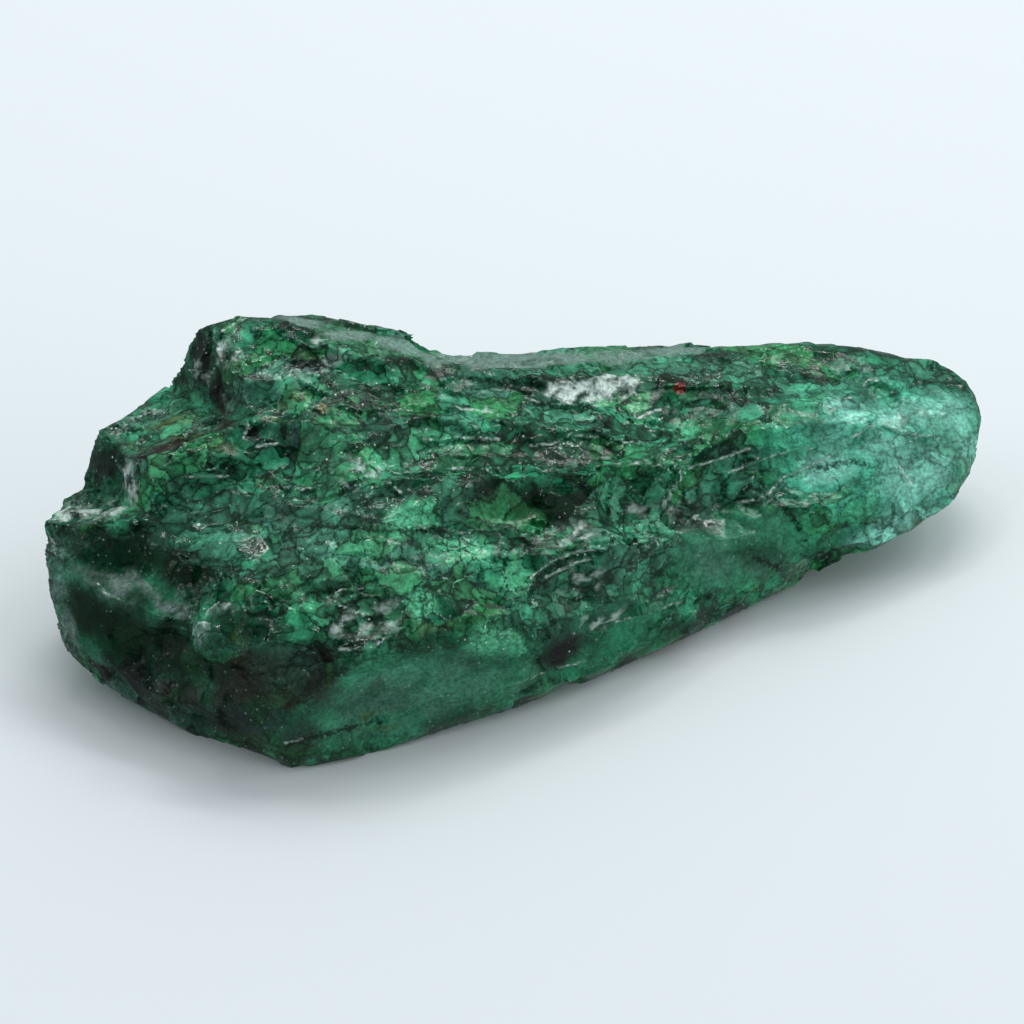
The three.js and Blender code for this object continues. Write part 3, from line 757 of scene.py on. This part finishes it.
def mark_looks(mesh):
    """Stores the colours and the other slow-changing looks on the points of the mesh."""
    points = vertex_vectors(mesh, "co") / MM
    ragged = points + 0.35 * wavy_vectors(points, 2.2, SEED + 60, 3)
    mottle = wavy_noise(points, 3.4, SEED + 70, 4)
    patches = wavy_noise(points * np.array([0.6, 1.0, 1.0]), 2.0, SEED + 80, 3)
    ridges = ridge_amounts(mesh, points)

    masks = {look: spot_mask(ragged, spots) for look, spots in SPOTS.items()}
    tone = np.tile(np.array(DARK_GREEN), (len(points), 1))
    tone = blend(tone, MID_GREEN, smooth_step(-0.7, 0.8, mottle))
    tone = blend(tone, LOBE_GREEN, masks["lobe"] * smooth_step(-1.8, 0.0, mottle))
    for colour, look, fade, share in TONES:
        tone = blend(tone, colour, masks[look] * smooth_step(*fade, patches) * share)
    tone = blend(tone, GOLD_GLINT, smooth_step(0.3, 0.6, spot_mask(points, GOLD)))
    store(mesh, "tone", tone, "FLOAT_VECTOR")
    store(mesh, "red", smooth_step(0.3, 0.6, spot_mask(points, RED)))

    roughness = 0.11 + 0.06 * wavy_noise(points, 2.4, SEED + 90) + 0.1 * masks["grit_and_sparkle"]
    roughness += 0.15 * np.maximum(masks["black_and_shade"], masks["brown"])
    clear = 0.22 + 0.2 * masks["lobe"] + 0.25 * masks["painted_glow"] + 0.15 * masks["deep"]
    store(mesh, "roughness", np.clip(roughness, 0.06, 0.6))
    store(mesh, "clear", np.clip(clear * (1.0 - masks["black_and_shade"]), 0.0, 1.0))
    store(mesh, "painted_glow", masks["painted_glow"])
    store(mesh, "grit_and_sparkle", masks["grit_and_sparkle"])
    flakes = wavy_noise(points * np.array([0.7, 1.0, 1.0]), 0.9, SEED + 120, 3)
    frost = masks["frost"] * smooth_step(0.0, 0.5, flakes) * 0.8
    sheet = smooth_step(0.3, 0.6, spot_mask(ragged, SHEET)) * smooth_step(-0.6, 0.0, flakes)
    store(mesh, "frost", np.maximum(frost, sheet))
    store(mesh, "cracked", smooth_step(-0.9, 0.6, wavy_noise(points, 5.0, SEED + 95, 2)))
    plain = np.maximum(masks["plain"], masks["crest_sheen"])
    store(mesh, "celled", 1.0 - 0.9 * plain - 0.5 * masks["lobe"] * (1.0 - masks["plain"]))
    store(mesh, "relief", 1.0 - 0.65 * masks["calm"])
    store(mesh, "ridge", ridges)
    store(mesh, "painted_glint_line", line_distance(points, PAINTED_GLINT_LINES))
    store(mesh, "dark_line", line_distance(points, DARK_LINES))

    bent = points + 0.55 * wavy_vectors(points, 3.0, SEED + 100)
    store(mesh, "cells", bent * np.array([0.62, 1.0, 1.0]), "FLOAT_VECTOR")
    fine = points + 0.3 * wavy_vectors(points, 1.3, SEED + 110)
    store(mesh, "fine_cells", fine * np.array([0.8, 1.0, 1.0]), "FLOAT_VECTOR")
    along = spot_mask(points, STRIAE_LONG) > 0.4
    down = spot_mask(points, STRIAE_DOWN) > 0.4
    grain = bent * np.array([0.5, 1.3, 1.3])
    grain[along] = bent[along] * np.array([0.25, 3.0, 5.0])
    grain[down] = points[down] * np.array([3.0, 5.0, 0.5])
    store(mesh, "grain", grain, "FLOAT_VECTOR")


# ------------------------------------------------------------------ the crystal's material


class Graph:
    """Makes and joins shader nodes; a value that isn't a socket is set on the input as it is."""

    def __init__(self, tree):
        self.nodes = tree.nodes
        self.links = tree.links

    def feed(self, socket, value):
        if isinstance(value, bpy.types.NodeSocket):
            self.links.new(value, socket)
        else:
            socket.default_value = value

    def node(self, kind, inputs, **settings):
        made = self.nodes.new("ShaderNode" + kind)
        for name, value in settings.items():
            setattr(made, name, value)
        for name, value in inputs.items():
            self.feed(made.inputs[name], value)
        return made

    def math(self, operation, a, b=0.0):
        return self.node("Math", {0: a, 1: b}, operation=operation).outputs[0]

    def chain(self, operation, values):
        total = values[0]
        for value in values[1:]:
            total = self.math(operation, total, value)
        return total

    def multiply(self, *values):
        return self.chain("MULTIPLY", values)

    def add(self, *values):
        return self.chain("ADD", values)

    def largest(self, *values):
        return self.chain("MAXIMUM", values)

    def dot(self, a, b):
        return self.node("VectorMath", {0: a, 1: b}, operation="DOT_PRODUCT").outputs["Value"]

    def difference(self, a, b):
        return self.node("VectorMath", {0: a, 1: b}, operation="SUBTRACT").outputs[0]

    def step(self, value, low, high, to_low=0.0, to_high=1.0):
        """Smoothly from to_low to to_high while value goes from low to high."""
        inputs = {"Value": value, "From Min": low, "From Max": high, "To Min": to_low, "To Max": to_high}
        return self.node("MapRange", inputs, interpolation_type="SMOOTHSTEP").outputs["Result"]

    def mix(self, factor, a, b, blend_type="MIX"):
        made = self.node("Mix", {}, data_type="RGBA", blend_type=blend_type, clamp_factor=True)
        colours = [v if isinstance(v, bpy.types.NodeSocket) else (*v, 1.0) for v in (a, b)]
        self.feed(made.inputs[0], factor)
        self.feed(made.inputs[6], colours[0])
        self.feed(made.inputs[7], colours[1])
        return made.outputs[2]

    def scaled(self, colour, amount):
        """The colour with each of its channels multiplied by the amount."""
        grey = self.node("CombineColor", {0: amount, 1: amount, 2: amount}).outputs[0]
        return self.mix(1.0, colour, grey, "MULTIPLY")

    def noise(self, place, scale, detail=2.0, roughness=0.55):
        inputs = {"Vector": place, "Scale": scale, "Detail": detail, "Roughness": roughness}
        return self.node("TexNoise", inputs).outputs["Fac"]

    def voronoi(self, place, scale, feature="F1"):
        return self.node("TexVoronoi", {"Vector": place, "Scale": scale}, feature=feature)

    def parts(self, colour):
        return self.node("SeparateColor", {"Color": colour}).outputs

    def number(self, name):
        return self.node("Attribute", {}, attribute_name=name).outputs["Fac"]

    def vector(self, name):
        return self.node("Attribute", {}, attribute_name=name).outputs["Vector"]

    def tilted_plates(self, place, cells):
        """Height of a mosaic of flat plates, each tilted its own way."""
        offset = self.difference(place, cells.outputs["Position"])
        lean = self.difference(cells.outputs["Color"], (0.5, 0.5, 0.5))
        return self.dot(offset, lean)


CELL_SCALE = 0.5
FINE_SCALE = 1.0
SPECK_SCALE = 4.5
SPARKLE_SCALE = 3.0
CRACK_STRENGTH = 0.75
DARK_LINE_STRENGTH = 0.8
EDGE_HIGHLIGHT_STRENGTH = 0.7
PLATE_HEIGHT = 0.19  # this and the next two are in millimetres
GRAIN_HEIGHT = 0.07
GRIT_HEIGHT = 0.12
REFRACTION = 1.58
ABSORPTION_COLOUR = (0.02, 0.91, 0.74)
ABSORPTION_DENSITY = 500.0  # per metre
CRACK_AND_SHADE_COLOUR = (0.002, 0.016, 0.009)
HAZE_COLOUR = (0.12, 0.45, 0.30)
LEAF_COLOUR = (0.04, 0.34, 0.09)
WHITE_AND_HIGHLIGHT_COLOUR = (0.72, 0.88, 0.82)


def emerald_material():
    material = bpy.data.materials.new("emerald")
    material.use_nodes = True
    g = Graph(material.node_tree)
    shader = g.nodes["Principled BSDF"]
    output = g.nodes["Material Output"]

    to_millimetres = {"Vector": g.node("TexCoord", {}).outputs["Object"], "Scale": (1 / MM, 1 / MM, 1 / MM)}
    place = g.node("Mapping", to_millimetres, vector_type="POINT").outputs[0]
    cell_place = g.vector("cells")
    fine_place = g.vector("fine_cells")
    cells = g.voronoi(cell_place, CELL_SCALE)
    fine = g.voronoi(fine_place, FINE_SCALE)
    borders = g.voronoi(cell_place, CELL_SCALE, "DISTANCE_TO_EDGE").outputs["Distance"]
    fine_borders = g.voronoi(fine_place, FINE_SCALE, "DISTANCE_TO_EDGE").outputs["Distance"]
    random, other_random = g.parts(cells.outputs["Color"])[:2]
    fine_random, fine_other, fine_third = g.parts(fine.outputs["Color"])[:3]
    speck = g.noise(place, SPECK_SCALE, 3.0, 0.7)
    wobble = g.step(speck, 0.25, 0.75, -0.11, 0.11)

    # Cells differ in tint and brightness, and are brighter in the middle.
    tone = g.vector("tone")
    celled = g.number("celled")
    colour = g.mix(g.multiply(g.step(random, 0.3, 0.95, 0.0, 0.4), celled), tone, HAZE_COLOUR)
    colour = g.mix(g.multiply(g.step(other_random, 0.55, 1.0, 0.0, 0.5), celled), colour, LEAF_COLOUR)
    spread = g.multiply(g.math("SUBTRACT", fine_random, 0.45), celled, 1.2)
    middle = g.multiply(g.step(fine_borders, 0.0, 0.4, -0.35, 0.35), celled)
    colour = g.scaled(colour, g.largest(g.add(spread, middle, 1.0), 0.15))
    # Painted glow: bright green where light shines through from behind, painted into the colour.
    painted_glow_cells = g.step(fine_other, 0.05, 0.35, 0.4, 1.0)
    painted_glow = g.multiply(g.number("painted_glow"), painted_glow_cells, g.step(speck, 0.3, 0.6, 0.6, 1.0))
    colour = g.mix(painted_glow, colour, PAINTED_GLOW_GREEN)
    colour = g.scaled(colour, g.step(speck, 0.25, 0.75, 0.6, 1.4))

    # Cracks follow the cell borders and the placed dark lines; the creases are darkened with painted shade.
    slight_wobble = g.multiply(wobble, 0.3)
    crack = g.step(g.add(borders, slight_wobble), 0.0, 0.06, 1.0, 0.0)
    crack = g.multiply(crack, celled, CRACK_STRENGTH)
    fine_crack = g.step(g.add(fine_borders, slight_wobble), 0.0, 0.07, 1.0, 0.0)
    fine_crack = g.multiply(fine_crack, g.number("cracked"), celled, CRACK_STRENGTH)
    ridge = g.number("ridge")
    # Painted shade in the creases.
    painted_crease_shade = g.step(ridge, -0.7, -0.3, 0.5, 0.0)
    dark_line = g.step(g.add(g.number("dark_line"), wobble), 0.05, 0.26, 1.0, 0.0)
    dark_line = g.multiply(dark_line, DARK_LINE_STRENGTH)
    colour = g.mix(g.largest(crack, fine_crack, painted_crease_shade, dark_line), colour, CRACK_AND_SHADE_COLOUR)

    # White shows where layers lift off; along ledges, on sharp edges and in scattered sparkles it is
    # painted highlight.
    frost = g.multiply(g.number("frost"), g.step(speck, 0.35, 0.6, 0.5, 1.0))
    # Painted highlight: white glint lines along the ledges.
    from_painted_glint_line = g.add(g.number("painted_glint_line"), g.multiply(wobble, 0.5))
    broken_up = g.step(fine_third, 0.1, 0.6, 0.25, 0.85)
    painted_glint_line = g.multiply(g.step(from_painted_glint_line, 0.01, 0.12, 1.0, 0.0), broken_up)
    # Painted highlight along sharp convex edges.
    painted_edge_highlight = g.multiply(g.step(ridge, 0.2, 0.5), g.step(speck, 0.42, 0.6), celled, EDGE_HIGHLIGHT_STRENGTH)
    # Painted sparkles: scattered white dots standing in for glints.
    sparkle_cells = g.voronoi(place, SPARKLE_SCALE)
    sparkle_pick = g.parts(sparkle_cells.outputs["Color"])[2]
    painted_sparkle = g.multiply(g.step(sparkle_cells.outputs["Distance"], 0.05, 0.25, 1.0, 0.0),
                         g.step(sparkle_pick, 0.68, 0.76), g.add(g.number("grit_and_sparkle"), 0.3))
    white_and_highlight = g.largest(frost, painted_glint_line, painted_edge_highlight, painted_sparkle)
    colour = g.mix(white_and_highlight, colour, WHITE_AND_HIGHLIGHT_COLOUR)
    colour = g.mix(g.number("red"), colour, RED_SPECK)

    # The finest relief is a bump.
    plates = g.multiply(g.tilted_plates(fine_place, fine), g.number("relief"), PLATE_HEIGHT)
    grain_height = g.add(g.multiply(g.number("grit_and_sparkle"), GRIT_HEIGHT), GRAIN_HEIGHT)
    grain = g.multiply(g.noise(g.vector("grain"), 1.0, 4.0, 0.65), grain_height)
    bump = g.node("Bump", {"Height": g.add(plates, grain), "Distance": MM, "Strength": 1.0})

    g.feed(shader.inputs["Base Color"], colour)
    g.feed(shader.inputs["Roughness"], g.add(g.number("roughness"), g.multiply(white_and_highlight, 0.25)))
    clear = g.multiply(g.number("clear"), g.math("SUBTRACT", 1.0, white_and_highlight))
    g.feed(shader.inputs["Transmission Weight"], clear)
    g.feed(shader.inputs["Normal"], bump.outputs["Normal"])
    shader.inputs["IOR"].default_value = REFRACTION
    absorption = {"Color": (*ABSORPTION_COLOUR, 1.0), "Density": ABSORPTION_DENSITY}
    g.feed(output.inputs["Volume"], g.node("VolumeAbsorption", absorption).outputs[0])
    return material


def build_crystal():
    piece = dense_copy()
    sculpt(piece)
    mark_looks(piece.data)
    piece.data.materials.append(emerald_material())
    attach(piece, "root")
    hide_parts(NODE)


add_camera()
add_studio()
build_crystal()
